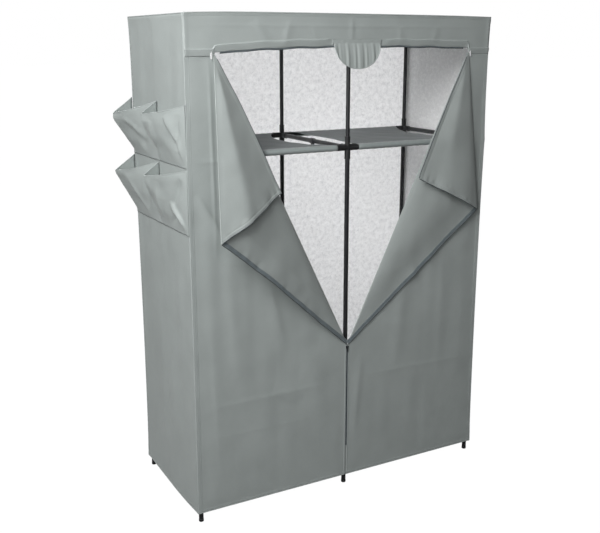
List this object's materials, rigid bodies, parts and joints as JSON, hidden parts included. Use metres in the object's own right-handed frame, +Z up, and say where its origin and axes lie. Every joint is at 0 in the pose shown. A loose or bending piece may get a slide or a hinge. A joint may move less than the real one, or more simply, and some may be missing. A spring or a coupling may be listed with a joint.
{
  "type": "portable fabric wardrobe",
  "caption": "Free-standing wardrobe with a black tube frame in two bays, a sewn grey cloth cover, folded-back zipped doors, shelf, hanging rods and side pockets.",
  "frame": {"origin": "middle of the underside of the front middle foot, on the floor", "axes": "+X to the right along the front, +Y from the front to the back, +Z up"},
  "size_m": [1.2486, 0.6292, 1.675],
  "materials": {
    "frame_tube": "black powder coat, satin",
    "connector": "black moulded plastic",
    "cover_cloth": "grey coated non-woven cloth, slight sheen",
    "cover_lining": "grey cloth outside, pale mottled backing inside",
    "door_cloth": "grey coated non-woven cloth, slight sheen",
    "shelf_cloth": "darker grey non-woven cloth",
    "zip_metal": "silver white, semi-gloss"
  },
  "bodies": {
    "frame_and_cover": {"lower_upright_front_left": "frame_tube", "shelf_connector_front_left": "connector", "upper_upright_front_left": "frame_tube", "lower_upright_back_left": "frame_tube", "shelf_connector_back_left": "connector", "upper_upright_back_left": "frame_tube", "lower_upright_front_middle": "frame_tube", "shelf_connector_front_middle": "connector", "upper_upright_front_middle": "frame_tube", "lower_upright_back_middle": "frame_tube", "shelf_connector_back_middle": "connector", "upper_upright_back_middle": "frame_tube", "lower_upright_front_right": "frame_tube", "shelf_connector_front_right": "connector", "upper_upright_front_right": "frame_tube", "lower_upright_back_right": "frame_tube", "shelf_connector_back_right": "connector", "upper_upright_back_right": "frame_tube", "shelf_rail_front_left": "frame_tube", "shelf_rail_front_right": "frame_tube", "shelf_rail_back_left": "frame_tube", "shelf_rail_back_right": "frame_tube", "shelf_rail_depth_left": "frame_tube", "shelf_rail_depth_middle": "frame_tube", "shelf_rail_depth_right": "frame_tube", "base_rail_front": "frame_tube", "base_rail_back": "frame_tube", "base_end_left": "frame_tube", "base_end_right": "frame_tube", "base_rail_depth_middle": "frame_tube", "top_rail_front": "frame_tube", "top_rail_back": "frame_tube", "top_end_left": "frame_tube", "top_end_right": "frame_tube", "top_rail_depth_middle": "frame_tube", "rod_bracket_middle": "connector", "hanging_rod_left": "frame_tube", "hanging_rod_right": "frame_tube", "shelf_cloth_left": "shelf_cloth", "shelf_cloth_right": "shelf_cloth", "cover_top": "cover_cloth", "cover_back": "cover_lining", "cover_side_left": "cover_cloth", "cover_side_right": "cover_cloth", "cover_valance": "cover_cloth", "cover_front_left": "cover_cloth", "cover_front_right": "cover_cloth", "pocket_row_upper": "cover_cloth", "pocket_row_lower": "cover_cloth"},
    "left_door": {"door_flap_left": "door_cloth"},
    "left_door_corner": {"door_corner_left": "door_cloth"},
    "right_door": {"door_flap_right": "door_cloth"},
    "right_door_corner": {"door_corner_right": "door_cloth"},
    "tab": {"half_round_tab": "cover_cloth"},
    "top_left_slider": {"zip_slider_top_left": "zip_metal"},
    "top_left_pull": {"zip_pull_top_left": "zip_metal"},
    "top_right_slider": {"zip_slider_top_right": "zip_metal"},
    "top_right_pull": {"zip_pull_top_right": "zip_metal"},
    "centre_slider": {"zip_slider_centre": "zip_metal"},
    "centre_pull": {"zip_pull_centre": "zip_metal"}
  },
  "joints": [
    {"name": "left_door_fold", "type": "hinge", "parent": "frame_and_cover", "child": "left_door", "pos_m": [-0.489, -0.01445, 1.558], "axis": [-0.434, 0, 0.9009], "range_deg": [0, 156.9]},
    {"name": "left_corner_fold", "type": "hinge", "parent": "left_door", "child": "left_door_corner", "pos_m": [-0.48826, -0.01638, 1.55836], "axis": [-0.0733, -0.2087, -0.9752], "range_deg": [0, 175.1]},
    {"name": "right_door_fold", "type": "hinge", "parent": "frame_and_cover", "child": "right_door", "pos_m": [0.489, -0.01445, 1.558], "axis": [-0.434, 0, -0.9009], "range_deg": [0, 178]},
    {"name": "right_corner_fold", "type": "hinge", "parent": "right_door", "child": "right_door_corner", "pos_m": [0.48893, -0.01655, 1.55803], "axis": [-0.1114, 0.0186, 0.9936], "range_deg": [0, 173.1]},
    {"name": "centre_zip_run", "type": "slide", "parent": "frame_and_cover", "child": "centre_slider", "axis": [0, 0, 1], "range_m": [0, 1.0095]},
    {"name": "top_left_zip_run", "type": "slide", "parent": "frame_and_cover", "child": "top_left_slider", "axis": [1, 0, 0], "range_m": [0, 0.4835]},
    {"name": "top_right_zip_run", "type": "slide", "parent": "frame_and_cover", "child": "top_right_slider", "axis": [-1, 0, 0], "range_m": [0, 0.4835]},
    {"name": "tab_lift", "type": "hinge", "parent": "frame_and_cover", "child": "tab", "pos_m": [0.026, -0.0157, 1.588], "axis": [-1, 0, 0], "range_deg": [0, 150]},
    {"name": "top_left_pull_swing", "type": "hinge", "parent": "top_left_slider", "child": "top_left_pull", "pos_m": [-0.497, -0.0173, 1.558], "axis": [-1, 0, 0], "range_deg": [0, 160]},
    {"name": "top_right_pull_swing", "type": "hinge", "parent": "top_right_slider", "child": "top_right_pull", "pos_m": [0.497, -0.0173, 1.558], "axis": [-1, 0, 0], "range_deg": [0, 160]},
    {"name": "centre_pull_swing", "type": "hinge", "parent": "centre_slider", "child": "centre_pull", "pos_m": [0, -0.0173, 0.535], "axis": [-1, 0, 0], "range_deg": [0, 160]}
  ],
  "couplings": [
    {"joint": "left_corner_fold", "follows": "left_door_fold", "ratio": 1.1154},
    {"joint": "right_corner_fold", "follows": "right_door_fold", "ratio": 0.97191},
    {"joint": "centre_zip_run", "follows": "left_door_fold", "m_per_rad": 0.36846},
    {"joint": "top_left_zip_run", "follows": "left_door_fold", "m_per_rad": 0.17638},
    {"joint": "top_right_zip_run", "follows": "right_door_fold", "m_per_rad": 0.15547}
  ]
}
